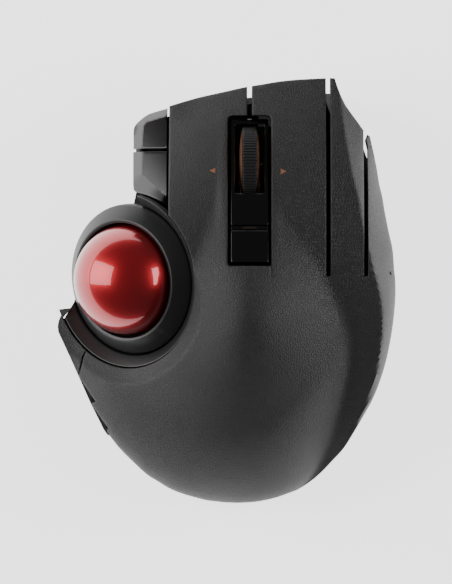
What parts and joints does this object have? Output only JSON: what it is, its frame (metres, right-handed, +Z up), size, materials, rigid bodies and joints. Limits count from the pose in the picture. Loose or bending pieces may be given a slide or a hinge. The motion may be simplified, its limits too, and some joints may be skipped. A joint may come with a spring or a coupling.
{
  "type": "trackball mouse",
  "caption": "Right-handed thumb trackball mouse with a tilting scroll wheel, finger buttons, side buttons, slide switches and its inner boards and switches.",
  "frame": {"origin": "under the middle of the bounding box, on the surface the feet stand on", "axes": "+X towards the little-finger side, +Y towards the fingertip end, +Z up"},
  "size_m": [0.1041, 0.1308, 0.054],
  "materials": {
    "soft_touch_black": "fine leather grain",
    "satin_black": "satin",
    "gloss_black": "gloss",
    "case_black": "fine moulded grain",
    "pearl_red": "metallic pearl under a clear coat",
    "copper": "polished copper colour",
    "rubber": "ribbed matte",
    "lens": "frosted",
    "board_green": "solder mask",
    "switch_grey": "plain",
    "steel": "brushed",
    "cell": "shrink sleeve",
    "ruby": "polished",
    "nylon": "plain"
  },
  "bodies": {
    "base": {"top_cover": "soft_touch_black", "thumb_wing": "soft_touch_black", "bottom_case": "case_black", "middle_frame": "case_black", "ball_cup": "satin_black", "cup_collar": "satin_black", "cup_bearing_1": "ruby", "cup_bearing_2": "ruby", "cup_bearing_3": "ruby", "wheel_bezel": "gloss_black", "motion_sensor": "gloss_black", "status_lens": "lens", "front_left_foot": "rubber", "front_right_foot": "rubber", "left_foot": "rubber", "right_foot": "rubber", "rear_foot": "rubber", "left_switch": "switch_grey", "right_switch": "switch_grey", "ring_finger_switch": "switch_grey", "little_finger_switch": "switch_grey", "forward_switch": "switch_grey", "back_switch": "switch_grey", "rear_key_switch": "switch_grey", "wheel_click_switch": "switch_grey", "main_board": "board_green", "button_board": "board_green", "sensor_board": "board_green", "battery": "cell", "usb_socket": "steel", "case_screw_1": "steel", "case_screw_2": "steel", "case_screw_3": "steel", "case_screw_4": "steel", "cup_ring": "satin_black"},
    "ball": {"ball": "pearl_red"},
    "left_button": {"left_button": "soft_touch_black"},
    "right_button": {"right_button": "soft_touch_black"},
    "ring_finger_button": {"ring_finger_button": "soft_touch_black"},
    "little_finger_button": {"little_finger_button": "soft_touch_black"},
    "rear_key": {"rear_key": "gloss_black"},
    "forward_button": {"forward_button": "gloss_black"},
    "back_button": {"back_button": "gloss_black"},
    "cradle": {"wheel_cradle": "nylon"},
    "yoke": {"tilt_yoke": "nylon"},
    "wheel": {"wheel_hub": "rubber", "wheel_tyre": "rubber", "wheel_left_ring": "copper", "wheel_right_ring": "copper"},
    "power_slider": {"power_slider": "satin_black"},
    "mode_slider": {"mode_slider": "satin_black"},
    "speed_slider": {"speed_slider": "satin_black"}
  },
  "joints": [
    {"name": "ball_roll", "type": "hinge", "parent": "base", "child": "ball", "pos_m": [-0.0297, 0.00385, 0.0255], "axis": [0, 1, 0], "continuous": true},
    {"name": "left_click", "type": "hinge", "parent": "base", "child": "left_button", "pos_m": [-0.008, 0.01, 0.0433], "axis": [-1, 0, 0], "range_deg": [0, 1], "stiffness_Nm_per_rad": 0.8, "springref_deg": -1.15},
    {"name": "right_click", "type": "hinge", "parent": "base", "child": "right_button", "pos_m": [0.022, 0.0048, 0.0466], "axis": [-1, 0, 0], "range_deg": [0, 1], "stiffness_Nm_per_rad": 0.8, "springref_deg": -1.15},
    {"name": "ring_finger_click", "type": "hinge", "parent": "base", "child": "ring_finger_button", "pos_m": [0.037, 0.0048, 0.038], "axis": [-1, 0, 0], "range_deg": [0, 1], "stiffness_Nm_per_rad": 0.8, "springref_deg": -1.15},
    {"name": "little_finger_click", "type": "hinge", "parent": "base", "child": "little_finger_button", "pos_m": [0.046, 0.0048, 0.028], "axis": [-1, 0, 0], "range_deg": [0, 1], "stiffness_Nm_per_rad": 0.8, "springref_deg": -1.15},
    {"name": "rear_key_press", "type": "slide", "parent": "base", "child": "rear_key", "axis": [0, 0, -1], "range_m": [0, 0.0006], "stiffness_N_per_m": 300, "springref_m": -0.0015},
    {"name": "forward_press", "type": "slide", "parent": "base", "child": "forward_button", "axis": [0, 0, -1], "range_m": [0, 0.0005], "stiffness_N_per_m": 300, "springref_m": -0.0015},
    {"name": "back_press", "type": "slide", "parent": "base", "child": "back_button", "axis": [0, 0, -1], "range_m": [0, 0.0005], "stiffness_N_per_m": 300, "springref_m": -0.0015},
    {"name": "wheel_press", "type": "slide", "parent": "base", "child": "cradle", "axis": [0, 0, -1], "range_m": [0, 0.0005], "stiffness_N_per_m": 300, "springref_m": -0.0015},
    {"name": "wheel_tilt", "type": "hinge", "parent": "cradle", "child": "yoke", "pos_m": [0.0072, 0.0382, 0.025], "axis": [0, 1, 0], "range_deg": [-4, 4], "stiffness_Nm_per_rad": 0.12},
    {"name": "wheel_spin", "type": "hinge", "parent": "yoke", "child": "wheel", "pos_m": [0.0072, 0.0382, 0.0292], "axis": [1, 0, 0], "continuous": true},
    {"name": "power_slide", "type": "slide", "parent": "base", "child": "power_slider", "axis": [1, 0, 0], "range_m": [0, 0.006]},
    {"name": "mode_slide", "type": "slide", "parent": "base", "child": "mode_slider", "axis": [0.4243, -0.9055, 0], "range_m": [-0.0012, 0.0012]},
    {"name": "speed_slide", "type": "slide", "parent": "base", "child": "speed_slider", "axis": [0.4243, -0.9055, 0], "range_m": [-0.0012, 0.0012]}
  ]
}
